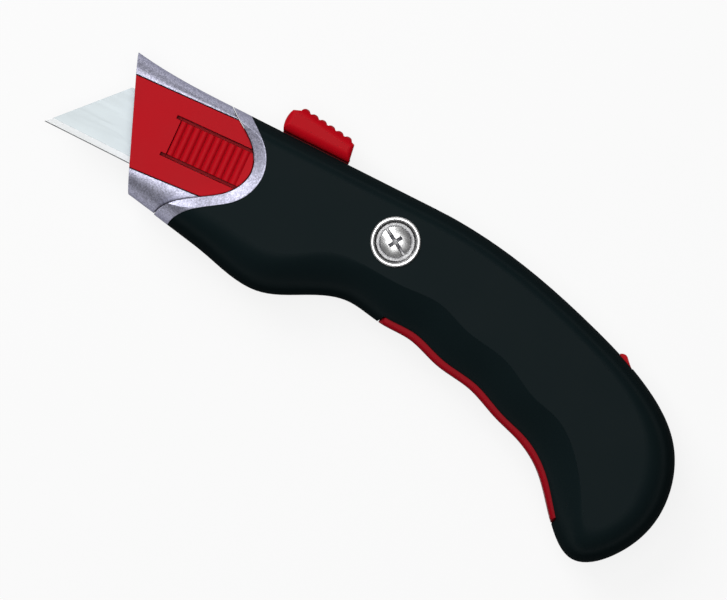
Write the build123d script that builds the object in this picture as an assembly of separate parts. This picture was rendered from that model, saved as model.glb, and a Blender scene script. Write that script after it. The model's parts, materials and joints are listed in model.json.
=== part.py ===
from build123d import *
import os
from math import atan2, cos, degrees, hypot, radians, sin

# Utility knife with a sliding trapezoid blade, a squeeze lever and a pull-off nose.
# Drawn about its middle plane: +X to the butt, +Y to the spine, +Z out of the left side.
# The handle screw is on the Z axis. Written pieces are lifted by HALF, so that the
# flat right side of the handle lies on Z = 0. Lengths are in millimetres.

# Handle form, point for point: outline on the middle plane, outline of the flat side,
# and how sharp an edge the flat side ends in, from 0 for a soft rounding to 1
HALF = 12.5
WALL = 2.4
SEAM_HALF = 0.12
SEAM_DEPTH = 0.4
CORE_INSET = 1.0
BOSS_TOP = 10.5
NECK_X = -66.0
EDGE_ANGLES = (-90, -76, -60, -40, -20, 0, 20, 40, 60, 76, 90)
OUTLINE = (
    (5, 13.3), (30, 11.1), (60, 3.4), (80, -4.6), (94, -16), (98.9, -31), (94.4, -47.3),
    (82.4, -56.1), (73.4, -50.2), (62.4, -38.1), (54.4, -33.5), (46.4, -30.9), (36.4, -27),
    (25.4, -25.2), (15.4, -22.2), (7.4, -21.9), (-4.6, -20.4), (-16.6, -24.6), (-29, -29.2),
    (-43.6, -26.9), (NECK_X, -22.4),
)
FLAT = (
    (5, 8.3), (28.6, 6.3), (57.8, -1.5), (76, -9.5), (86, -19.2), (89.5, -31), (87.5, -41.5),
    (82.5, -45.5), (77.5, -40.5), (70.5, -30.7), (61.5, -23.5), (53, -21), (41.5, -15.5),
    (28.5, -13), (18.5, -9.7), (8, -9.9), (-5, -9.4), (-15, -10.6), (-28, -17.4),
    (-42.5, -16.8), (NECK_X, -13.5),
)
CREASE = (0, 0, 0, 0, 0, 0, 0, 0, 0.7, 1, 1, 1, 1, 1, 1, 1, 0.8, 0.6, 0.4, 0.2, 0)

# Collar: rear and front edges of the band, from above the spine to below the belly
COLLAR_REAR = (
    (-53.5, 15.5), (-47.6, 10.8), (-42.2, 5.4), (-40.4, -0.7), (-43.3, -8.9),
    (-51.6, -15.3), (-57, -20.7), (-57.9, -28),
)
COLLAR_FRONT = (
    (-58.5, 15.5), (-52.9, 10.6), (-46.4, 5.5), (-43.7, -0.7), (-46.3, -7.6),
    (-54.2, -13.6), (-60.8, -19), (-62.8, -28),
)
COLLAR_STEP = 11.2
COLLAR_SLEEVE = 4.5
COLLAR_GAP = 0.35

# Nose: top and bottom edges on the middle plane, and edges of its flat sides
NOSE_TOP = ((-86.6, 15), (-76, 13.8), (-62, 13.3), (-40, 13.3))
NOSE_TOP_FLAT = ((-84.24, 9.3), (-74.5, 9.75), (-62, 10.33), (-40, 11.3))
NOSE_BOTTOM = ((-40, -26.8), (-71.6, -21.2))
NOSE_BOTTOM_FLAT = ((-40, -12.1), (-74.3, -14.7))
NOSE_HALF = 9.4
NOSE_HALF_X = -44.0
NOSE_TAPER = 0.05
PLUG_HALF = 7.5
PLUG_TOP = 9.3
PLUG_BOTTOM = -15.0
PLUG_FRONT = -62.0
PLUG_REAR = -39.0
PLUG_ROUND = 2.5
CHANNEL_END = 1.5
PLATE_THICK = 2.2
PLATE_GAP = 0.3
BLADE_SLIT = 0.6

# Ribbed release tabs in the nose plates
TAB_ROOT = (-67.2, -1.65)
TAB_TILT = 2.0
TAB_HALF = 5.0
TAB_GROOVE = 1.0
TAB_EDGE = TAB_HALF + TAB_GROOVE
TAB_GROOVE_DEPTH = 1.5
TAB_LEAD = 1.5
TAB_END = 60.0
TAB_GAP = 0.12
TAB_ROOT_GAP = 0.06
TAB_SINK = 0.55
TAB_FLOOR = 4.0
TAB_RELIEF = 0.7
TAB_TAIL = (17.5, 26.1)
TAB_TAIL_HALF = 3.5
TAB_TAIL_Z = (5.6, 7.3)
RIB_COUNT = 10
RIB_FIRST = 1.05
RIB_PITCH = 2.1
RIB_RADIUS = 1.2
RIB_TOP = 0.02

# Standard trapezoid blade
BLADE_TIP = (-101.3, -13.6)
BLADE_LENGTH = 61.0
BLADE_HEIGHT = 19.2
BLADE_SLANT = 17.5
BLADE_THICK = 0.65
BLADE_BEVEL = 1.9
BLADE_EDGE = 0.06
NOTCH_PITCH = 12.6
NOTCH_WIDTH = 3.2
NOTCH_DEPTH = 2.4

# Blade carriage
SLIDE_TRAVEL = 30.0
CHEEK_FRONT = -68.0
CHEEK_BOTTOM = -12.2
CHEEK_TOP = 7.6
CARRIAGE_HALF = 3.0
POST_X = (-38.2, -35.0)
ARM_REAR = -20.0
ARM_Y = (5.6, 10.4)
BAR_REAR = 14.0
BAR_Y = (-10.8, -6.6)
RACK_PITCH = 6.0
RACK_WIDTH = 3.6
RACK_DEPTH = 2.6
RACK_OFFSET = 1.4
SLIDE_GAP = 0.3
GUIDE_X = (-36.0, 6.0)
HIGH_GUIDE_Y = (6.2, 9.2)
LOW_GUIDE_Y = (-9.2, -7.0)
BLADE_GAP = 0.03
LEAF_THICK = 0.35
LEAF_BOW = 0.9
LEAF_WIDTH = 3.2

# Thumb slider
SLIDER_X = (-41.2, -21.2)
SLIDER_BASE = 13.55
SLIDER_HALF = 5.4
SLIDER_ROUND = 2.4
SLIDER_BASE_ROUND = 3.0
SLIDER_CORNER = 2.0
SLIDER_BULGE = 0.85
SLIDER_FRONT_TOP = (-0.1, 19.9)
SLIDER_REAR_TOP = (0.9, 0.7)
RIDGE_COUNT = 6
RIDGE_FIRST = (-37.9, 21.8)
RIDGE_STEP = (2.72, -0.33)
RIDGE_RADIUS = 1.35
RIDGE_HEIGHT = 0.6
STEM_X = (-37.0, -25.0)
STEM_HALF = 1.9
STEM_FOOT = 8.6
STEM_GAP = 0.3
STEM_END_GAP = 0.6
KEEL_FOOT = 12.8

# Squeeze lever, turning about a pin at the butt
PIVOT = (75.5, -42.5)
SQUEEZE = 3.0
LEVER_HALF = 5.0
LEVER_GAP = 0.3
LEVER_DEPTH = 4.6
LEVER_SKIN = 2.2
LEVER_RIM = 2.0
LEVER_ROUND = 1.2
LEVER_FRONT = (6.9, -22.0)
LEVER_REAR = (72.9, -48.2)
LEVER_REAR_ANGLE = 42.0
LEVER_BULGE = 1.2
REAR_CUT = (10.0, 12.0)
REGION_LOW = -40.0
REGION_APEX = (70.0, -15.0)
LEVER_WEB = ((64.5, -37.5), (72.3, -46.2), (76.5, -46), (78.5, -41), (74, -38))
CHANNEL_ENDS = (-9.0, -5.0)
SLOT_END_GAP = 0.4
SLOT_REACH = 3.0
HUB_RADIUS = 3.6
PIN_RADIUS = 1.5
PIN_HALF = 9.4
PIN_GAP = 0.1
TAIL_HALF = 2.2
TAIL_WIDTH = 5.0
SECTOR_RADIUS = 35.75
SECTOR_DEPTH = 4.5
SECTOR_ANGLES = (98.7, 107.5)
PAWL_X = 9.0
PAWL_TIP_Y = -12.2
PAWL_TIP = 1.7
PAWL_FOOT = (7.4, 12.6, -20.0)
PAWL_SHOULDER = 3.0
PAWL_NECK = (2.3, -16.2)
PAWL_HALF = 2.0
SPRING_X = 30.0
SPRING_Y = (-23.3, -13.0)
SPRING_RADIUS = 2.3
SPRING_WIRE = 0.35
SPRING_TURNS = 6
SHELF_X = (25.0, 35.0)
SHELF_Y = (-12.9, -11.5)

# Lock button on the spine
LOCK_AT = (71.4, -0.35)
LOCK_TANGENT = -21.8
LOCK_TRAVEL = 1.2
LOCK_U = (-2.3, 2.9)
LOCK_HALF = 3.5
LOCK_FLANGE = (-4.6, -3.2)
LOCK_FLANGE_RIM = 0.9
LOCK_CREST = (0.8, 0.65)
LOCK_TOE = -0.3
LOCK_HEEL = -0.6
LOCK_GAP = 0.25
LOCK_HOLE = (-4.0, 3.0)
PLUNGER_TIP = -7.0
PLUNGER_HALF = 0.4
PLUNGER_GAP = 0.2

# Screw, cup washer and insert
BOSS_RADIUS = 4.6
SHANK_RADIUS = 2.4
CUP_RADIUS = 6.9
CUP_FLOOR = 10.6
CUP_THICK = 0.8
CUP_OUTSIDE = ((5.8, CUP_FLOOR), (CUP_RADIUS, 12.3), (CUP_RADIUS, 12.85))
CUP_INSIDE = ((6.55, 13.2), (6.15, 13.2), (5.8, 12.9), (5.3, CUP_FLOOR + CUP_THICK))
HEAD_RADIUS = 4.25
HEAD_RIM = 12.1
HEAD_CROWN = 12.9
HEAD_SLOT = (0.45, 1.2)
HEAD_CROSS = (2.1, 0.5, 1.7)
HEAD_SLOT_ANGLE = -30.4
INSERT_RADIUS = 3.4
INSERT_DEPTH = 8.5
PEGS = ((88, -30), (-28, -20.5))
PEG_RADIUS = 1.5
PEG_BOSS_RADIUS = 3.0
PEG_LENGTH = 4.0
PEG_GAP = 0.1
SHANK_GAP = 0.3
FIT_GAP = 0.03

# Spare blades
SPARE_COUNT = 3
SPARE_TOP = 7.0
SPARE_AT = (11.33, 8.15)
SPARE_TILT = -16.0
SPARE_POSTS = (18.0, 38.0)
SPARE_POST_V = (-11.0, -6.0)
SPARE_POST_LENGTH = 5.0
SPARE_GAP = 0.02

LARGE = 130.0


def box(x, y, z):
    """Block between two limits on each axis."""
    size = (x[1] - x[0], y[1] - y[0], z[1] - z[0])
    middle = ((x[0] + x[1]) / 2, (y[0] + y[1]) / 2, (z[0] + z[1]) / 2)
    return Pos(*middle) * Box(*size)


def rod(at, radius, z):
    """Cylinder along Z between two heights."""
    return Pos(at[0], at[1], (z[0] + z[1]) / 2) * Cylinder(radius, z[1] - z[0])


def plate(points, z):
    """Polygon raised between two heights."""
    face = make_face(Polyline(*points, close=True))
    return Pos(0, 0, z[0]) * extrude(face, amount=z[1] - z[0])


def toward(start, end, distance):
    """Point at a distance from start on the way to end."""
    run = hypot(end[0] - start[0], end[1] - start[1])
    share = distance / run
    return (start[0] + (end[0] - start[0]) * share, start[1] + (end[1] - start[1]) * share)


def handle_wire(inset, angle):
    """Handle outline drawn in by inset, at an angle round its edge: 0 at the middle, 90 at the flat side."""
    turn = radians(angle)
    z = (HALF - inset) * sin(turn)
    points = []
    for outer, flat, crease in zip(OUTLINE, FLAT, CREASE):
        start = toward(outer, flat, inset)
        share = (1 - crease) * (1 - cos(turn)) + crease * sin(turn) ** 2
        points.append((start[0] + (flat[0] - start[0]) * share, start[1] + (flat[1] - start[1]) * share, z))
    neck = (NECK_X, points[0][1], z)
    rim = Spline(*points, tangents=((1, 0, 0), (-1, 0.2, 0)))
    return Wire([Line(neck, points[0]).edge(), rim.edge(), Line(points[-1], neck).edge()])


def handle_form(inset):
    """Solid handle, elliptic at the spine and creased along the finger grooves, drawn in by inset."""
    return Part() + Solid.make_loft([handle_wire(inset, angle) for angle in EDGE_ANGLES])


def handle_face(inset):
    """Middle-plane outline of the handle as a face."""
    return Sketch() + Face(handle_wire(inset, 0))


def ahead_wire(edge, shift, z):
    """Loop round everything ahead of a collar edge."""
    points = [(x + shift, y, z) for x, y in edge]
    curve = Spline(*points)
    far = -LARGE
    lines = Polyline(points[-1], (far, points[-1][1], z), (far, points[0][1], z), points[0])
    return Wire([curve.edge(), *lines.edges()])


def ahead(edge, shift=0.0):
    """Everything ahead of a collar edge, through the whole thickness."""
    face = Face(ahead_wire(edge, shift, 0))
    return Part() + extrude(Sketch() + face, amount=2 * HALF, both=True)


def half_space(side):
    """Block that holds one side of the middle plane."""
    return Pos(0, 0, side * HALF) * Box(3 * LARGE, 3 * LARGE, 2 * HALF)


def nose_half(x):
    """Half thickness of the nose."""
    return NOSE_HALF + (x - NOSE_HALF_X) * NOSE_TAPER


def nose_front_x(y):
    """Slanted front face of the nose."""
    top, bottom = NOSE_TOP[0], NOSE_BOTTOM[-1]
    return top[0] + (bottom[0] - top[0]) * (top[1] - y) / (top[1] - bottom[1])


def nose_form():
    """Solid nose, thinner to the front, with rounded top and bottom edges."""
    wires = []
    for angle in EDGE_ANGLES:
        turn = radians(angle)
        share = 1 - cos(turn)
        rows = []
        for outer, flat in ((NOSE_TOP, NOSE_TOP_FLAT), (NOSE_BOTTOM, NOSE_BOTTOM_FLAT)):
            row = []
            for start, end in zip(outer, flat):
                x = start[0] + (end[0] - start[0]) * share
                y = start[1] + (end[1] - start[1]) * share
                row.append((x, y, nose_half(x) * sin(turn)))
            rows.append(row)
        top, bottom = rows
        lines = (Line(top[-1], bottom[0]), Line(bottom[0], bottom[1]), Line(bottom[1], top[0]))
        wires.append(Wire([Spline(*top).edge(), *[line.edge() for line in lines]]))
    return Part() + Solid.make_loft(wires)


def nose_slab(points, low, high, side):
    """Polygon on a nose side, between two depths below its surface."""
    wires = []
    for depth in (low, high):
        corners = [(x, y, side * (nose_half(x) + depth)) for x, y in points]
        wires.append(Wire.make_polygon(corners))
    return Part() + Solid.make_loft(wires, ruled=True)


def tab_place(u, v):
    """Point of the tab: u along it from its root, v across it."""
    tilt = radians(TAB_TILT)
    x = TAB_ROOT[0] + u * cos(tilt) - v * sin(tilt)
    return (x, TAB_ROOT[1] + u * sin(tilt) + v * cos(tilt))


def tab_outline(u, half):
    """Four corners of a stretch of the tab."""
    return [tab_place(u[0], -half), tab_place(u[1], -half), tab_place(u[1], half), tab_place(u[0], half)]


def plate_outline(gap):
    """Flat side of the nose, drawn in by a gap at its top and bottom."""
    top, bottom = NOSE_TOP_FLAT, NOSE_BOTTOM_FLAT
    upper = [(x, y - gap) for x, y in (top[0], top[-1])]
    lower = [(x, y + gap) for x, y in bottom]
    upper[0] = (nose_front_x(upper[0][1]), upper[0][1])
    lower[1] = (nose_front_x(lower[1][1]), lower[1][1])
    return [*upper, *lower]


def blade_outline():
    """Corners of the blade, from its tip round its back."""
    x, y = BLADE_TIP
    top = y + BLADE_HEIGHT
    return [(x, y), (x + BLADE_SLANT, top), (x + BLADE_LENGTH - BLADE_SLANT, top), (x + BLADE_LENGTH, y)]


def make_blade():
    """Trapezoid blade with two notches in its back and a ground edge."""
    half = BLADE_THICK / 2
    blade = plate(blade_outline(), (-half, half))
    back = BLADE_TIP[1] + BLADE_HEIGHT
    for x in notch_places():
        notch_x = (x - NOTCH_WIDTH / 2, x + NOTCH_WIDTH / 2)
        blade -= box(notch_x, (back - NOTCH_DEPTH, back + 1), (-1, 1))
    edge = BLADE_TIP[1]
    rise = half - BLADE_EDGE / 2
    for side in (1, -1):
        tip = (edge, side * BLADE_EDGE / 2)
        corners = (tip, (edge + BLADE_BEVEL, side * half), (edge, side * (half + rise)))
        grind = make_face(Plane.YZ * Polyline(*corners, close=True))
        blade -= Pos(BLADE_TIP[0] - 1, 0, 0) * extrude(grind, amount=BLADE_LENGTH + 2, dir=(1, 0, 0))
    return blade


def notch_places():
    """Middles of the front and the rear notch along the blade's back."""
    middle = BLADE_TIP[0] + BLADE_LENGTH / 2
    return (middle - NOTCH_PITCH / 2, middle + NOTCH_PITCH / 2)


def lever_region(front_gap, rear_gap):
    """Stretch of the belly between the lever's two ends."""
    turn = radians(LEVER_REAR_ANGLE)
    run, rise = cos(turn), sin(turn)
    x = LEVER_REAR[0] + rear_gap * rise
    y = LEVER_REAR[1] - rear_gap * run
    front = LEVER_FRONT[0] - front_gap
    below, above = REAR_CUT
    rear = ((x - below * run, y - below * rise), (x + above * run, y + above * rise))
    corners = ((front, 0), (front, REGION_LOW), *rear, REGION_APEX)
    return make_face(Polyline(*corners, close=True))


def lever_end(at, angle, half, gap):
    """Everything on the inner side of a bulged end of the lever, larger by a gap."""
    turn = radians(angle)
    base = Plane((at[0], at[1], 0), x_dir=(cos(turn), sin(turn), 0), z_dir=(-sin(turn), cos(turn), 0))
    arc = ThreePointArc((gap, -half), (gap + LEVER_BULGE, 0), (gap, half))
    back = Polyline((gap, half), (-LARGE, half), (-LARGE, -half), (gap, -half))
    return extrude(make_face(base * (Curve() + [arc, back])), amount=LARGE, both=True)


def lever_band(outer, inner, half, gap):
    """Strip of the belly between two insets, with a bulged end at the front and the rear."""
    reach = LEVER_BULGE + gap
    strip = (handle_face(outer) - handle_face(inner)) & lever_region(reach, reach)
    band = extrude(strip, amount=half, both=True)
    if gap == 0:
        band = fillet(band.edges().filter_by(GeomType.BSPLINE).sort_by(Axis.Y)[0:2], LEVER_ROUND)
    band &= lever_end(LEVER_FRONT, 180, half, gap)
    return band & lever_end(LEVER_REAR, LEVER_REAR_ANGLE - 90, half, gap)


def about_pivot(angle):
    """Turn about the lever's pin."""
    return Pos(PIVOT[0], PIVOT[1], 0) * Rot(0, 0, angle) * Pos(-PIVOT[0], -PIVOT[1], 0)


def lock_frame():
    """Places u along the spine and v out of it, at the lock button."""
    return Pos(LOCK_AT[0], LOCK_AT[1], 0) * Rot(0, 0, LOCK_TANGENT)


def make_pawl():
    """Steel tooth that stands on the lever's front."""
    left, right, foot = PAWL_FOOT
    shoulder = foot + PAWL_SHOULDER
    neck, neck_y = PAWL_NECK
    corners = (
        (left, foot), (right, foot), (right, shoulder), (PAWL_X + neck / 2, neck_y),
        (PAWL_X + PAWL_TIP / 2, PAWL_TIP_Y), (PAWL_X - PAWL_TIP / 2, PAWL_TIP_Y),
        (PAWL_X - neck / 2, neck_y), (left, shoulder),
    )
    return plate(corners, (-PAWL_HALF, PAWL_HALF))


def make_lever():
    """Curved lever with a channel inside, a hub and a notched tail."""
    lever = lever_band(0, LEVER_DEPTH, LEVER_HALF, 0)
    channel = (handle_face(LEVER_SKIN) - handle_face(LEVER_DEPTH + 1)) & lever_region(*CHANNEL_ENDS)
    lever -= extrude(channel, amount=LEVER_HALF - LEVER_RIM, both=True)
    lever += plate(LEVER_WEB, (-TAIL_HALF, TAIL_HALF))
    hub_z = (-LEVER_HALF, LEVER_HALF)
    lever += rod(PIVOT, HUB_RADIUS, hub_z)
    middle = radians(sum(SECTOR_ANGLES) / 2)
    root = SECTOR_RADIUS - SECTOR_DEPTH / 2
    tip = (PIVOT[0] + root * cos(middle), PIVOT[1] + root * sin(middle))
    side = TAIL_WIDTH / 2
    tail = (
        (PIVOT[0] - side, PIVOT[1]), (PIVOT[0] + side, PIVOT[1]),
        (tip[0] + side, tip[1]), (tip[0] - side, tip[1]),
    )
    lever += plate(tail, (-TAIL_HALF, TAIL_HALF))
    low, high = (radians(angle) for angle in SECTOR_ANGLES)
    wedge = ((0, 0), (LARGE * cos(low), LARGE * sin(low)), (LARGE * cos(high), LARGE * sin(high)))
    ring = Circle(SECTOR_RADIUS) - Circle(SECTOR_RADIUS - SECTOR_DEPTH)
    sector = ring & make_face(Polyline(*wedge, close=True))
    lever += Pos(PIVOT[0], PIVOT[1], 0) * extrude(sector, amount=TAIL_HALF, both=True)
    half = PLUNGER_HALF + PLUNGER_GAP
    slot = lock_frame() * box((-half, half), (PLUNGER_TIP - LOCK_TRAVEL - PLUNGER_GAP, 0), (-HALF, HALF))
    lever -= slot
    lever -= about_pivot(SQUEEZE) * slot
    lever -= rod(PIVOT, PIN_RADIUS + PIN_GAP, (-HALF, HALF))
    return lever - make_pawl()


def make_lock():
    """Button with a steep front, a flange under the spine and a thin plunger."""
    front, rear = LOCK_U
    low = LOCK_FLANGE[1]
    toe, heel = (front, LOCK_TOE), (rear, LOCK_HEEL)
    crest = (front + LOCK_CREST[0], LOCK_CREST[1])
    crown = Spline(toe, crest, heel, tangents=((0.15, 1), (1, -0.25)))
    sides = Polyline(heel, (rear, low), (front, low), toe)
    lock = extrude(make_face([crown, sides]), amount=LOCK_HALF, both=True)
    rim = LOCK_FLANGE_RIM
    lock += box((front - rim, rear + rim), LOCK_FLANGE, (-LOCK_HALF - rim, LOCK_HALF + rim))
    lock += box((-PLUNGER_HALF, PLUNGER_HALF), (PLUNGER_TIP, low), (-TAIL_HALF, TAIL_HALF))
    return lock_frame() * lock


def make_shells():
    """Hollow handle cut along its middle plane, with bosses, ribs and openings."""
    hollow = handle_form(0) - handle_form(WALL) - ahead(COLLAR_REAR)
    hollow -= extrude(handle_face(-SLOT_REACH) - handle_face(SEAM_DEPTH), amount=SEAM_HALF, both=True)
    core = handle_form(CORE_INSET)
    stem_z = (-STEM_HALF - STEM_GAP, STEM_HALF + STEM_GAP)
    stem_slot = (STEM_X[0] - STEM_END_GAP, STEM_X[1] + SLIDE_TRAVEL + STEM_END_GAP)
    hollow -= box(stem_slot, (STEM_FOOT, SLIDER_BASE + 1), stem_z)
    keel_slot = (SLIDER_X[0] - STEM_END_GAP, SLIDER_X[1] + SLIDE_TRAVEL + STEM_END_GAP)
    hollow -= box(keel_slot, (KEEL_FOOT - STEM_GAP, SLIDER_BASE + 1), stem_z)
    hollow -= lever_band(-SLOT_REACH, WALL + SLOT_REACH, LEVER_HALF + LEVER_GAP, SLOT_END_GAP)
    lock_x = (LOCK_U[0] - LOCK_GAP, LOCK_U[1] + LOCK_GAP)
    lock_z = (-LOCK_HALF - LOCK_GAP, LOCK_HALF + LOCK_GAP)
    hollow -= lock_frame() * box(lock_x, LOCK_HOLE, lock_z)
    shells = []
    for side in (1, -1):
        guide = CARRIAGE_HALF + SLIDE_GAP
        bosses = rod((0, 0), BOSS_RADIUS, sorted((0, side * BOSS_TOP)))
        bosses += rod(PIVOT, HUB_RADIUS, sorted((side * (LEVER_HALF + LEVER_GAP), side * BOSS_TOP)))
        bosses += box(GUIDE_X, LOW_GUIDE_Y, sorted((side * guide, side * BOSS_TOP)))
        if side < 0:
            guide += LEAF_BOW
        bosses += box(GUIDE_X, HIGH_GUIDE_Y, sorted((side * guide, side * BOSS_TOP)))
        for at in PEGS:
            bosses += rod(at, PEG_BOSS_RADIUS, sorted((0, side * BOSS_TOP)))
        shell = (hollow & half_space(side)) + (bosses & core)
        shells.append(shell - rod(PIVOT, PIN_RADIUS + FIT_GAP, (-PIN_HALF - PIN_GAP, PIN_HALF + PIN_GAP)))
    left, right = shells
    left += rod((0, 0), CUP_RADIUS + 1, (CUP_FLOOR - WALL, BOSS_TOP))
    left -= rod((0, 0), CUP_RADIUS + FIT_GAP, (CUP_FLOOR, HALF + 1))
    left -= rod((0, 0), SHANK_RADIUS + SHANK_GAP, (-1, HALF))
    right -= rod((0, 0), INSERT_RADIUS, (-INSERT_DEPTH, 1))
    for at in PEGS:
        left += rod(at, PEG_RADIUS, (-PEG_LENGTH, 1))
        right -= rod(at, PEG_RADIUS + PEG_GAP, (-PEG_LENGTH - PEG_GAP, 1))
    right += box(SHELF_X, SHELF_Y, (-BOSS_TOP, SPRING_RADIUS + SPRING_WIRE))
    for u in SPARE_POSTS:
        post = box((u, u + SPARE_POST_LENGTH), SPARE_POST_V, (SPARE_TOP, BOSS_TOP))
        left += spare_frame() * post
    return left, right


def make_collar():
    """Silver ring with a U-shaped bevelled face and a sleeve inside the shells."""
    band = (handle_form(0) & ahead(COLLAR_REAR, -0.05)) - ahead(COLLAR_FRONT)
    sleeve = (handle_form(WALL + 0.1) & ahead(COLLAR_REAR, COLLAR_SLEEVE)) - ahead(COLLAR_FRONT)
    collar = band + sleeve
    collar -= passage(COLLAR_GAP)
    for side in (1, -1):
        wires = (
            ahead_wire(COLLAR_FRONT, 0, side * COLLAR_STEP),
            ahead_wire(COLLAR_REAR, -0.3, side * (HALF + 0.01)),
        )
        collar -= Part() + Solid.make_loft(wires, ruled=True)
    return collar


def passage(gap):
    """Straight passage that the nose plugs into, larger than the plug by a gap."""
    height = PLUG_TOP - PLUG_BOTTOM + 2 * gap
    shape = RectangleRounded(height, 2 * (PLUG_HALF + gap), PLUG_ROUND)
    middle = (PLUG_TOP + PLUG_BOTTOM) / 2
    return extrude(Plane((PLUG_FRONT, middle, 0), x_dir=(0, 1, 0), z_dir=(1, 0, 0)) * shape, amount=45)


def make_nose():
    """Nose frame, then its plates and tabs for the left and the right side."""
    visible = ahead(COLLAR_FRONT, -COLLAR_GAP)
    frame = nose_form() & visible
    frame += passage(0) & box((-LARGE, PLUG_REAR), (-LARGE, LARGE), (-LARGE, LARGE))
    channel_z = CARRIAGE_HALF + SLIDE_GAP
    channel_y = (CHEEK_BOTTOM - SLIDE_GAP, CHEEK_TOP + SLIDE_GAP)
    frame -= box((CHEEK_FRONT - CHANNEL_END, 0), channel_y, (-channel_z, channel_z))
    slit_y = (BLADE_TIP[1] - BLADE_SLIT, BLADE_TIP[1] + BLADE_HEIGHT + BLADE_SLIT)
    frame -= box((-LARGE, 0), slit_y, (-BLADE_SLIT, BLADE_SLIT))
    plates = []
    tabs = []
    for side in (1, -1):
        frame -= nose_slab(plate_outline(0), -PLATE_THICK, 2, side)
        pocket = box((TAB_RELIEF, TAB_END), (-TAB_EDGE, TAB_EDGE), sorted((side * TAB_FLOOR, side * HALF)))
        frame -= (tab_frame() * pocket) & box((-LARGE, PLUG_REAR + 1), (-LARGE, LARGE), (-LARGE, LARGE))
        skin = nose_slab(plate_outline(PLATE_GAP), -PLATE_THICK, 0, side) & visible
        grooves = nose_slab(tab_outline((-TAB_LEAD, TAB_END), TAB_EDGE), -TAB_GROOVE_DEPTH, 1, side)
        grooves -= nose_slab(tab_outline((-TAB_END, TAB_ROOT_GAP), TAB_HALF), -PLATE_THICK, 2, side)
        opening = nose_slab(tab_outline((0, TAB_END), TAB_EDGE), -2 * PLATE_THICK, 1, side)
        plates.append(skin - grooves - opening)
        tabs.append((tab_top(side) & visible) + tab_frame() * tab_tail(side))
    return frame, plates, tabs


def tab_frame():
    """Places u along the tab and v across it."""
    return Pos(*TAB_ROOT, 0) * Rot(0, 0, TAB_TILT)


def tab_top(side):
    """Ribbed strip between two grooves, with a floor under the grooves."""
    along = (TAB_ROOT_GAP, TAB_END)
    low = TAB_GAP - PLATE_THICK
    tab = nose_slab(tab_outline(along, TAB_EDGE - TAB_GAP), low, -TAB_GROOVE_DEPTH, side)
    tab += nose_slab(tab_outline(along, TAB_HALF), low, -TAB_SINK, side)
    band = nose_slab(tab_outline(along, TAB_HALF), -TAB_GROOVE_DEPTH, 0, side)
    for index in range(RIB_COUNT):
        u = RIB_FIRST + RIB_PITCH * index
        z = nose_half(tab_place(u, 0)[0]) - RIB_TOP - RIB_RADIUS
        rib = Pos(u, 0, side * z) * Rot(90, 0, 0) * Cylinder(RIB_RADIUS, 2 * TAB_HALF)
        tab += (tab_frame() * rib) & band
    return tab


def tab_tail(side):
    """Stiff end of the tab, behind the collar."""
    return box(TAB_TAIL, (-TAB_TAIL_HALF, TAB_TAIL_HALF), sorted(side * z for z in TAB_TAIL_Z))


def make_carriage():
    """Left cheek with the arm, the post and the rack bar."""
    half = BLADE_THICK / 2 + BLADE_GAP
    both = (-CARRIAGE_HALF, CARRIAGE_HALF)
    carriage = box((CHEEK_FRONT, POST_X[1]), (CHEEK_BOTTOM, CHEEK_TOP), (half, CARRIAGE_HALF))
    carriage += box(POST_X, (BAR_Y[0], ARM_Y[1]), both)
    carriage += box((POST_X[0], ARM_REAR), ARM_Y, both)
    carriage += box((POST_X[0], BAR_REAR), BAR_Y, both)
    first = PAWL_X + RACK_OFFSET
    for index in range(int(SLIDE_TRAVEL / RACK_PITCH) + 1):
        x = first - index * RACK_PITCH
        notch_x = (x - RACK_WIDTH / 2, x + RACK_WIDTH / 2)
        carriage -= box(notch_x, (BAR_Y[0] - 1, BAR_Y[0] + RACK_DEPTH), both)
    carriage -= box(STEM_X, (STEM_FOOT, ARM_Y[1] + 1), (-STEM_HALF, STEM_HALF))
    return carriage - keeper_lug(0.05)


def keeper_lug(gap):
    """Lug that passes through the blade's rear notch into the left cheek."""
    back = BLADE_TIP[1] + BLADE_HEIGHT
    x = notch_places()[1]
    reach = NOTCH_WIDTH / 2 - 0.2 + gap
    return box((x - reach, x + reach), (back - NOTCH_DEPTH + 0.3 - gap, back + gap), (-1, 1.6 + gap))


def make_keeper():
    """Right cheek with the lug."""
    half = BLADE_THICK / 2 + BLADE_GAP
    keeper = box((CHEEK_FRONT, POST_X[0] - 0.1), (CHEEK_BOTTOM, CHEEK_TOP), (-CARRIAGE_HALF, -half))
    return keeper + keeper_lug(0)


def make_leaf():
    """Bowed spring strip on the right side of the carriage arm."""
    front, rear = POST_X[1], ARM_REAR
    seat = -CARRIAGE_HALF
    middle = (front + rear) / 2
    crest = seat - LEAF_BOW
    foot = 1.5
    outer = ThreePointArc((front, seat), (middle, crest), (rear, seat))
    inner = ThreePointArc((rear - foot, seat), (middle, crest + LEAF_THICK), (front + foot, seat))
    feet = (Line((rear, seat), (rear - foot, seat)), Line((front + foot, seat), (front, seat)))
    strip = make_face(Plane.XZ * (Curve() + [outer, inner, *feet]))
    return Pos(0, ARM_Y[1] - 0.8, 0) * extrude(strip, amount=LEAF_WIDTH)


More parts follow.
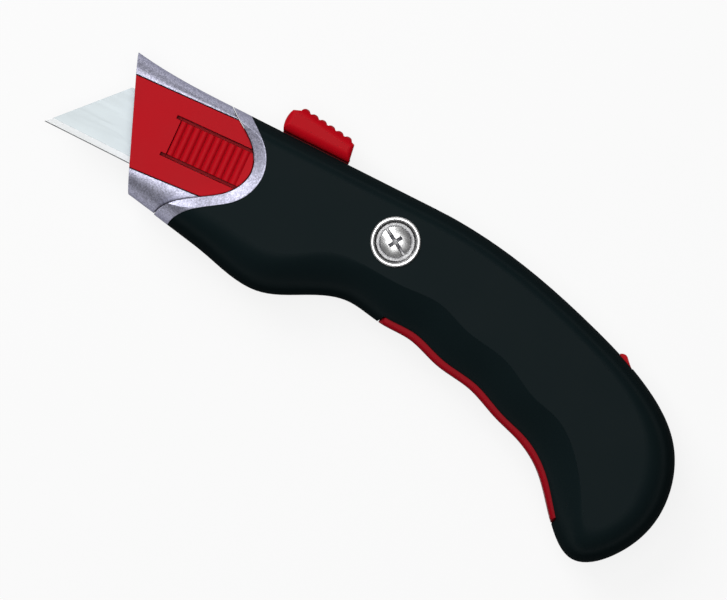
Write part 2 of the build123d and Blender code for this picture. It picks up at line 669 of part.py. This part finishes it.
def make_slider():
    """Ridged slider with a stem through the spine."""
    front, rear = SLIDER_X
    last = RIDGE_COUNT - 1
    first_top = RIDGE_FIRST[1] - RIDGE_HEIGHT
    last_x = RIDGE_FIRST[0] + RIDGE_STEP[0] * last
    last_top = first_top + RIDGE_STEP[1] * last
    toe, brow = (front, SLIDER_BASE), (front + SLIDER_FRONT_TOP[0], SLIDER_FRONT_TOP[1])
    bow = ThreePointArc(toe, (front - SLIDER_BULGE, (toe[1] + brow[1]) / 2), brow)
    corners = (
        brow, (RIDGE_FIRST[0], first_top), (last_x, last_top),
        (rear - SLIDER_REAR_TOP[0], last_top - SLIDER_REAR_TOP[1]), (rear, SLIDER_BASE), toe,
    )
    profile = make_face([bow, Polyline(*corners)])
    for index in range(RIDGE_COUNT):
        x = RIDGE_FIRST[0] + RIDGE_STEP[0] * index
        y = RIDGE_FIRST[1] + RIDGE_STEP[1] * index - RIDGE_RADIUS
        profile += Pos(x, y) * Circle(RIDGE_RADIUS)
    slider = extrude(profile, amount=SLIDER_HALF, both=True)
    width = 2 * SLIDER_HALF
    upper = Plane.YZ * Pos(-width, 0) * RectangleRounded(2 * width, width, SLIDER_ROUND)
    slope = degrees(atan2(RIDGE_STEP[1], RIDGE_STEP[0]))
    slider &= Pos(*RIDGE_FIRST, 0) * Rot(0, 0, slope) * extrude(upper, amount=LARGE, both=True)
    lower = Plane.YZ * Pos(SLIDER_BASE + width, 0) * RectangleRounded(2 * width, width, SLIDER_BASE_ROUND)
    slider &= extrude(lower, amount=LARGE, both=True)
    front -= SLIDER_BULGE
    plan = Plane.XZ * Pos((front + rear) / 2, 0) * RectangleRounded(rear - front, width, SLIDER_CORNER)
    slider &= extrude(plan, amount=LARGE, both=True)
    stem_z = (-STEM_HALF, STEM_HALF)
    slider += box(SLIDER_X, (KEEL_FOOT, SLIDER_BASE + 1), stem_z)
    return slider + box(STEM_X, (STEM_FOOT, SLIDER_BASE + 1), stem_z)


def make_cup():
    """Dished washer with a rolled rim."""
    hole = SHANK_RADIUS + SHANK_GAP
    points = ((hole, CUP_FLOOR), *CUP_OUTSIDE, *CUP_INSIDE, (hole, CUP_FLOOR + CUP_THICK))
    return revolve(make_face(Plane.XZ * Polyline(*points, close=True)), Axis.Z)


def make_screw():
    """Pan head screw with a slot and a cross recess."""
    seat = CUP_FLOOR + CUP_THICK
    centre, rim = (0, HEAD_CROWN), (HEAD_RADIUS, HEAD_RIM)
    dome = TangentArc(centre, rim, tangent=(1, 0))
    sides = Polyline(rim, (HEAD_RADIUS, seat), (0, seat), centre)
    screw = revolve(make_face(Plane.XZ * (Curve() + [dome, sides])), Axis.Z)
    turn = Rot(0, 0, HEAD_SLOT_ANGLE)
    half, depth = HEAD_SLOT
    screw -= turn * box((-CUP_RADIUS, CUP_RADIUS), (-half, half), (HEAD_CROWN - depth, HALF + 1))
    reach, half, depth = HEAD_CROSS
    for angle in (0, 90):
        arm = box((-reach, reach), (-half, half), (HEAD_CROWN - depth, HALF + 1))
        screw -= turn * Rot(0, 0, angle) * arm
    screw += rod((0, 0), SHANK_RADIUS, (-INSERT_DEPTH + 1, seat))
    return screw


def make_insert():
    """Threaded bush in the right shell, drawn with a plain bore."""
    return rod((0, 0), INSERT_RADIUS, (-INSERT_DEPTH, 0)) - rod((0, 0), SHANK_RADIUS, (-LARGE, 1))


def make_spring():
    """Coil that pushes the lever out."""
    low, high = SPRING_Y
    pitch = (high - low - 2 * SPRING_WIRE) / SPRING_TURNS
    gap = pitch - 2 * SPRING_WIRE
    print("lever spring gap between turns", round(gap, 2))
    base = Plane((SPRING_X, low + SPRING_WIRE, 0), x_dir=(1, 0, 0), z_dir=(0, 1, 0))
    path = Helix(pitch, pitch * SPRING_TURNS, SPRING_RADIUS)
    section = Plane(path @ 0, z_dir=path % 0) * Circle(SPRING_WIRE)
    return base * sweep(section, path=path, is_frenet=True)


def spare_frame():
    """Places u along the spare blades' edge and v out of it towards the spine."""
    return Pos(SPARE_AT[0], SPARE_AT[1], 0) * Rot(0, 0, SPARE_TILT)


def make_spares():
    """Stack of spare blades, edge to the spine, on two posts of the left wall."""
    blade = Rot(180, 0, 0) * Pos(-BLADE_TIP[0], -BLADE_TIP[1], 0) * make_blade()
    spares = []
    for index in range(SPARE_COUNT):
        z = SPARE_TOP - BLADE_THICK / 2 - index * (BLADE_THICK + SPARE_GAP)
        spares.append(Pos(0, 0, z) * spare_frame() * blade)
    return Compound(children=spares)


def write(name, shape):
    """Writes one piece, lifted so that the right side of the handle lies on Z = 0."""
    export_step(Pos(0, 0, HALF) * shape, os.path.join("parts", name + ".step"))


def main():
    os.makedirs("parts", exist_ok=True)
    left, right = make_shells()
    frame, plates, tabs = make_nose()
    pieces = {
        "left_shell": left,
        "right_shell": right,
        "collar": make_collar(),
        "nose_frame": frame,
        "nose_plate_left": plates[0],
        "nose_plate_right": plates[1],
        "release_tab_left": tabs[0],
        "release_tab_right": tabs[1],
        "blade": make_blade(),
        "blade_carriage": make_carriage(),
        "blade_keeper": make_keeper(),
        "detent_leaf": make_leaf(),
        "thumb_slider": make_slider(),
        "squeeze_lever": make_lever(),
        "latch_pawl": make_pawl(),
        "lever_pin": rod(PIVOT, PIN_RADIUS, (-PIN_HALF, PIN_HALF)),
        "lever_spring": make_spring(),
        "lock_button": make_lock(),
        "screw_cup": make_cup(),
        "handle_screw": make_screw(),
        "screw_insert": make_insert(),
        "spare_blades": make_spares(),
    }
    for name, shape in pieces.items():
        write(name, shape)


main()
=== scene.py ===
import json
import math

import bpy
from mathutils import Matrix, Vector


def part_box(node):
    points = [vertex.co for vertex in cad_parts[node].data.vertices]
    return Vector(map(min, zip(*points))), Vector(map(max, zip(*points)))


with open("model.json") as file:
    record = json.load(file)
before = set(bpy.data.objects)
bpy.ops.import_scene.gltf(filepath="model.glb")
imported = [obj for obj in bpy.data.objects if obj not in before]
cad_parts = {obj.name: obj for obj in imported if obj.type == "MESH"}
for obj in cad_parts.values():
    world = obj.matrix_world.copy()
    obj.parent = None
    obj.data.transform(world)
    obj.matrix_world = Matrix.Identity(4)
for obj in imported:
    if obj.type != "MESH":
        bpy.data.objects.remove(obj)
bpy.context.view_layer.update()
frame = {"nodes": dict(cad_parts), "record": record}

# Photograph: image size, pixels to the millimetre, the handle screw's pixel and the knife's slant
IMAGE_WIDTH = 727
IMAGE_HEIGHT = 600
PIXELS_PER_MM = 3.63
SCREW_PIXEL = (395.2, 242.3)
SLANT = math.radians(26.7)
MM = 0.001

# Camera height above the knife's middle plane, that plane's height, and the sensor's width in millimetres
CAMERA_HEIGHT = 1.6
MIDDLE_HEIGHT = 0.0125
SENSOR = 36.0

# Colours, linear: the two tones that each finish varies between, and the painted shade it takes deep in gaps
BLACK = (0.0066, 0.0134, 0.0150)
BLACK_DARK = (0.0058, 0.0116, 0.0130)
SILVER = (0.71, 0.71, 0.87)
SILVER_DARK = (0.36, 0.36, 0.46)
SILVER_EDGE = (0.12, 0.12, 0.15)
SILVER_GAP_SHADE = (0.03, 0.03, 0.035)
RED = (0.57, 0.0035, 0.0115)
RED_DARK = (0.49, 0.003, 0.0095)
RED_GAP_SHADE = (0.10, 0.001, 0.003)
# Lever red: the red plastic darkened, painted shade for the shadow the lever strip lies in
LEVER_RED_SHADED = (0.36, 0.004, 0.012)
LEVER_DARK_SHADED = (0.28, 0.003, 0.009)
LEVER_GAP_SHADE = (0.06, 0.001, 0.002)
STEEL = (0.55, 0.605, 0.625)
STEEL_DARK = (0.50, 0.555, 0.575)
STEEL_GROUND = (0.88, 0.90, 0.91)
# Dark line of painted shade along the cutting edge
STEEL_EDGE_SHADE = (0.06, 0.065, 0.07)
WIRE = (0.56, 0.60, 0.61)
NICKEL = (0.95, 0.95, 0.95)
NICKEL_DARK = (0.86, 0.86, 0.86)
NICKEL_GAP_SHADE = (0.025, 0.025, 0.03)
NYLON = (0.022, 0.022, 0.024)
NYLON_DARK = (0.014, 0.014, 0.016)
NYLON_GAP_SHADE = (0.005, 0.005, 0.006)
BRASS = (0.66, 0.46, 0.18)
BRASS_DARK = (0.5, 0.33, 0.12)
BRASS_GAP_SHADE = (0.15, 0.1, 0.04)

# Floor: colour, colour that it throws back on the knife, own glow to the eye, side and drop below the knife
FLOOR = (0.92, 0.92, 0.92)
FLOOR_BOUNCE = (0.12, 0.12, 0.12)
FLOOR_GLOW = 0.85
FLOOR_SIZE = 6
FLOOR_DROP = 0.0002

# Shading: edge roundings, how far gaps are looked for to paint shade into them, and the angle from which an
# edge is sharp
EDGE_ROUND = 0.00025
BLADE_EDGE_ROUND = 0.00008
CREVICE_SHADE_REACH = 0.0012
CUP_SHADE_REACH = 0.003
SHADE_SAMPLES = 6
ROUND_SAMPLES = 4
SHARP_ANGLE = math.radians(20)

# Blade: height of the ground bevel, how softly it starts, and the dark line of painted shade along the
# cutting edge
BEVEL_WIDTH = 0.0019
BEVEL_BLEND = 0.0001
EDGE_SHADE_WIDTH = 0.0002
EDGE_SHADE_BLEND = 0.0001


class Nodes:
    """Node tree of a new material, with short calls to add nodes and links."""

    def __init__(self, name):
        self.material = bpy.data.materials.new(name)
        self.material.use_nodes = True
        self.tree = self.material.node_tree
        self.shader = self.tree.nodes["Principled BSDF"]

    def add(self, kind, **values):
        node = self.tree.nodes.new(kind)
        for key, value in values.items():
            setattr(node, key, value)
        return node

    def link(self, start, end):
        self.tree.links.new(start, end)

    def feed(self, socket, output):
        """Drives one of the shader's sockets by a node's output."""
        self.link(output, self.shader.inputs[socket])

    def set(self, **values):
        """Sets shader sockets that are the same all over the surface."""
        names = {"metallic": "Metallic", "roughness": "Roughness", "specular": "Specular IOR Level"}
        for key, value in values.items():
            self.shader.inputs[names[key]].default_value = value

    def place(self, stretch):
        """Object coordinates stretched by a factor on each axis."""
        coordinates = self.add("ShaderNodeTexCoord")
        mapping = self.add("ShaderNodeMapping")
        mapping.inputs["Scale"].default_value = stretch
        self.link(coordinates.outputs["Object"], mapping.inputs["Vector"])
        return mapping.outputs["Vector"]

    def noise(self, scale, detail=2.0, stretch=(1, 1, 1)):
        texture = self.add("ShaderNodeTexNoise")
        texture.inputs["Scale"].default_value = scale
        texture.inputs["Detail"].default_value = detail
        self.link(self.place(stretch), texture.inputs["Vector"])
        return texture.outputs["Fac"]

    def cells(self, scale):
        texture = self.add("ShaderNodeTexVoronoi")
        texture.inputs["Scale"].default_value = scale
        self.link(self.place((1, 1, 1)), texture.inputs["Vector"])
        return texture

    def span(self, value, low, high, start=0.3, end=0.7):
        """Value that runs from low to high while another runs from start to end."""
        remap = self.add("ShaderNodeMapRange")
        remap.inputs["From Min"].default_value = start
        remap.inputs["From Max"].default_value = end
        remap.inputs["To Min"].default_value = low
        remap.inputs["To Max"].default_value = high
        self.link(value, remap.inputs["Value"])
        return remap.outputs["Result"]

    def larger(self, first, second):
        """Larger of two values."""
        node = self.add("ShaderNodeMath", operation="MAXIMUM")
        self.link(first, node.inputs[0])
        self.link(second, node.inputs[1])
        return node.outputs["Value"]

    def mix(self, factor, first, second):
        """Blend of two colours, each a plain colour or a node's output."""
        blend = self.add("ShaderNodeMix", data_type="RGBA")
        for socket, colour in (("A", first), ("B", second)):
            if isinstance(colour, tuple):
                blend.inputs[socket].default_value = (*colour, 1)
            else:
                self.link(colour, blend.inputs[socket])
        self.link(factor, blend.inputs["Factor"])
        return blend.outputs["Result"]

    def paint(self, colour, gap_shade, reach=CREVICE_SHADE_REACH, shut=0.25, clear=0.8):
        """Base colour with painted shade that darkens it in gaps and corners, between two shares of open
        sky.
        """
        # Ambient occlusion darkens the base colour in gaps and corners: painted shade.
        shade = self.add("ShaderNodeAmbientOcclusion", samples=SHADE_SAMPLES)
        shade.inputs["Distance"].default_value = reach
        sky = self.span(shade.outputs["AO"], 0, 1, start=shut, end=clear)
        self.feed("Base Color", self.mix(sky, gap_shade, colour))

    def bump(self, height, strength, depth, edge=EDGE_ROUND):
        """Fine relief on softly rounded edges."""
        rounding = self.add("ShaderNodeBevel", samples=ROUND_SAMPLES)
        rounding.inputs["Radius"].default_value = edge
        node = self.add("ShaderNodeBump")
        node.inputs["Strength"].default_value = strength
        node.inputs["Distance"].default_value = depth
        self.link(height, node.inputs["Height"])
        self.link(rounding.outputs["Normal"], node.inputs["Normal"])
        self.feed("Normal", node.outputs["Normal"])


def grip_material():
    """Soft-touch black coating with a fine grain, duller on steep sides."""
    nodes = Nodes("soft_touch_black")
    cloud = nodes.noise(scale=45, detail=3)
    tilt = nodes.add("ShaderNodeLayerWeight")
    steep = nodes.span(tilt.outputs["Facing"], 0, 1, start=0.15, end=0.5)
    nodes.feed("Base Color", nodes.mix(cloud, BLACK_DARK, BLACK))
    nodes.feed("Roughness", nodes.larger(nodes.span(cloud, 0.44, 0.52), steep))
    nodes.bump(nodes.noise(scale=2600, detail=3), strength=0.22, depth=0.00006)
    nodes.set(specular=0.04)
    return nodes.material


def silver_material():
    """Metallic silver paint with small flakes, and painted shade in gaps."""
    nodes = Nodes("silver_flake_paint")
    flakes = nodes.cells(scale=3000)
    tone = nodes.span(flakes.outputs["Color"], 0, 1, start=0.1, end=0.9)
    # Painted shade darkens the silver in gaps.
    nodes.paint(nodes.mix(tone, SILVER_DARK, SILVER), SILVER_GAP_SHADE, shut=0.3, clear=0.92)
    nodes.feed("Roughness", nodes.span(nodes.noise(scale=60), 0.48, 0.58))
    nodes.bump(flakes.outputs["Distance"], strength=0.12, depth=0.00003)
    nodes.set(metallic=0.85, specular=0.1)
    nodes.shader.inputs["Specular Tint"].default_value = (*SILVER_EDGE, 1)
    return nodes.material


def plastic_material(name, light, dark, gap_shade, roughness, grain):
    """Moulded plastic with faint flow marks and a fine skin, and painted shade in gaps."""
    nodes = Nodes(name)
    cloud = nodes.noise(scale=70, detail=3)
    # Painted shade darkens the plastic in gaps.
    nodes.paint(nodes.mix(cloud, dark, light), gap_shade)
    nodes.feed("Roughness", nodes.span(cloud, roughness - 0.04, roughness + 0.05))
    nodes.bump(nodes.noise(scale=1800), strength=grain, depth=0.00005)
    nodes.set(specular=0.06)
    return nodes.material


def blade_material():
    """Drawn steel, brighter where the edge is ground, with a dark line of painted shade along the cutting
    edge.
    """
    nodes = Nodes("blade_steel")
    lines = nodes.noise(scale=900, detail=3, stretch=(0.06, 1, 1))
    scratches = nodes.noise(scale=700, detail=3, stretch=(1, 0.05, 1))
    axes = nodes.add("ShaderNodeSeparateXYZ")
    nodes.link(nodes.place((1, 1, 1)), axes.inputs["Vector"])
    cutting_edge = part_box("blade")[0][1]
    bevel_top = cutting_edge + BEVEL_WIDTH
    edge_shade_top = cutting_edge + EDGE_SHADE_WIDTH
    ground = nodes.span(axes.outputs["Y"], 1, 0, start=bevel_top - BEVEL_BLEND, end=bevel_top)
    # Painted shade: a dark line along the cutting edge.
    edge_shade = nodes.span(axes.outputs["Y"], 1, 0, start=edge_shade_top, end=edge_shade_top + EDGE_SHADE_BLEND)
    face = nodes.mix(lines, STEEL_DARK, STEEL)
    nodes.feed("Base Color", nodes.mix(edge_shade, nodes.mix(ground, face, STEEL_GROUND), STEEL_EDGE_SHADE))
    nodes.feed("Roughness", nodes.span(lines, 0.32, 0.44))
    nodes.bump(scratches, strength=0.05, depth=0.00002, edge=BLADE_EDGE_ROUND)
    nodes.set(metallic=0.25)
    return nodes.material


def metal_material(name, light, dark, gap_shade, stretch):
    """Metal with fine drawn or turned lines along one direction, and painted shade in gaps."""
    nodes = Nodes(name)
    lines = nodes.noise(scale=900, detail=3, stretch=stretch)
    # Painted shade darkens the metal in gaps.
    nodes.paint(nodes.mix(lines, dark, light), gap_shade)
    nodes.feed("Roughness", nodes.span(lines, 0.24, 0.38))
    nodes.bump(lines, strength=0.08, depth=0.00002)
    nodes.set(metallic=1.0)
    return nodes.material


def nickel_material():
    """Bright plating with painted shade deep in the cup."""
    nodes = Nodes("nickel_plate")
    cloud = nodes.noise(scale=500, detail=3)
    # Painted shade: dark deep in the cup, over a wider reach.
    nodes.paint(nodes.mix(cloud, NICKEL_DARK, NICKEL), NICKEL_GAP_SHADE, reach=CUP_SHADE_REACH, shut=0.5, clear=0.95)
    nodes.feed("Roughness", nodes.span(cloud, 0.22, 0.34))
    nodes.bump(cloud, strength=0.05, depth=0.00002)
    nodes.set(metallic=0.8)
    return nodes.material


# Finish of each material slot in the record
MATERIALS = {
    "black_grip": grip_material(),
    "silver": silver_material(),
    "red_plastic": plastic_material("red_plastic", RED, RED_DARK, RED_GAP_SHADE, roughness=0.4, grain=0.10),
    # The lever's red is a darkened copy of the red plastic: painted shade.
    "lever_red": plastic_material(
        "shaded_red_plastic", LEVER_RED_SHADED, LEVER_DARK_SHADED, LEVER_GAP_SHADE, roughness=0.45, grain=0.12),
    "blade_steel": blade_material(),
    "dark_plastic": plastic_material("black_nylon", NYLON, NYLON_DARK, NYLON_GAP_SHADE, roughness=0.5, grain=0.15),
    "spring_steel": metal_material("spring_steel", NICKEL_DARK, WIRE, NICKEL_GAP_SHADE, stretch=(1, 0.1, 1)),
    "nickel": nickel_material(),
    "brass": metal_material("turned_brass", BRASS, BRASS_DARK, BRASS_GAP_SHADE, stretch=(1, 1, 0.1)),
}


def dress_nodes():
    """Gives every CAD node its slot's material and smooth shading between sharp edges."""
    slots = {entry["node"]: entry["material_slot"] for entry in frame["record"]["subparts"]}
    for name, node in frame["nodes"].items():
        node.data.materials.clear()
        node.data.materials.append(MATERIALS[slots[name]])
        node.data.shade_smooth()
        node.data.set_sharp_from_angle(angle=SHARP_ANGLE)


def floor_material():
    """Pale floor, white but for the knife's shadow, that throws little light back up."""
    nodes = Nodes("floor")
    nodes.set(roughness=0.9, specular=0.1)
    nodes.shader.inputs["Base Color"].default_value = (*FLOOR, 1)
    glow = nodes.add("ShaderNodeEmission")
    glow.inputs["Strength"].default_value = 1
    dim = nodes.add("ShaderNodeBsdfDiffuse")
    dim.inputs["Color"].default_value = (*FLOOR_BOUNCE, 1)
    rays = nodes.add("ShaderNodeLightPath")
    bounce = nodes.add("ShaderNodeMixShader")
    nodes.link(rays.outputs["Is Diffuse Ray"], bounce.inputs["Fac"])
    nodes.link(nodes.shader.outputs["BSDF"], bounce.inputs[1])
    nodes.link(dim.outputs["BSDF"], bounce.inputs[2])
    seen = nodes.larger(rays.outputs["Is Camera Ray"], rays.outputs["Is Glossy Ray"])
    blend = nodes.add("ShaderNodeMixShader")
    nodes.link(nodes.span(seen, 0, FLOOR_GLOW, start=0, end=1), blend.inputs["Fac"])
    nodes.link(bounce.outputs["Shader"], blend.inputs[1])
    nodes.link(glow.outputs["Emission"], blend.inputs[2])
    nodes.link(blend.outputs["Shader"], nodes.tree.nodes["Material Output"].inputs["Surface"])
    return nodes.material


def add_floor():
    """Floor just under the knife."""
    bpy.ops.mesh.primitive_plane_add(size=FLOOR_SIZE, location=(0, 0, -FLOOR_DROP))
    floor = bpy.context.object
    floor.name = "floor"
    floor.data.materials.append(floor_material())


def image_centre():
    """Point of the knife's middle plane at the centre of the image."""
    dx = (IMAGE_WIDTH / 2 - SCREW_PIXEL[0]) / PIXELS_PER_MM
    dy = (IMAGE_HEIGHT / 2 - SCREW_PIXEL[1]) / PIXELS_PER_MM
    x = dx * math.cos(SLANT) + dy * math.sin(SLANT)
    y = dx * math.sin(SLANT) - dy * math.cos(SLANT)
    return Vector((x * MM, y * MM, MIDDLE_HEIGHT))


def image_place(right, up, height):
    """World point from millimetres right and up of the image centre, at a height in metres."""
    centre = image_centre()
    x = centre.x + (right * math.cos(SLANT) - up * math.sin(SLANT)) * MM
    y = centre.y + (right * math.sin(SLANT) + up * math.cos(SLANT)) * MM
    return Vector((x, y, height))


def add_camera():
    """Camera straight above the knife's left side, turned to the photograph's slant."""
    data = bpy.data.cameras.new("camera")
    camera = bpy.data.objects.new("camera", data)
    bpy.context.collection.objects.link(camera)
    camera.location = image_centre() + Vector((0, 0, CAMERA_HEIGHT))
    camera.rotation_euler = (0, 0, SLANT)
    data.sensor_width = SENSOR
    data.lens = SENSOR * CAMERA_HEIGHT / (IMAGE_WIDTH / PIXELS_PER_MM * MM)
    bpy.context.scene.camera = camera


def add_lamp(name, right, up, height, size, power):
    """Soft square lamp aimed at the knife."""
    data = bpy.data.lights.new(name, "AREA")
    data.size = size
    data.energy = power
    lamp = bpy.data.objects.new(name, data)
    bpy.context.collection.objects.link(lamp)
    lamp.location = image_place(right, up, height)
    aim = image_centre() - lamp.location
    lamp.rotation_euler = aim.to_track_quat("-Z", "Y").to_euler()


def add_world(strength):
    """Even white surroundings, dim."""
    world = bpy.data.worlds.new("studio")
    world.use_nodes = True
    background = world.node_tree.nodes["Background"]
    background.inputs["Color"].default_value = (1, 1, 1, 1)
    background.inputs["Strength"].default_value = strength
    bpy.context.scene.world = world


dress_nodes()
add_floor()
add_camera()
add_world(strength=0.05)
add_lamp("overhead", right=-60, up=60, height=1.9, size=1.2, power=15.5)
add_lamp("key", right=-380, up=640, height=0.8, size=0.6, power=6.0)
bpy.context.scene.view_settings.view_transform = "Standard"
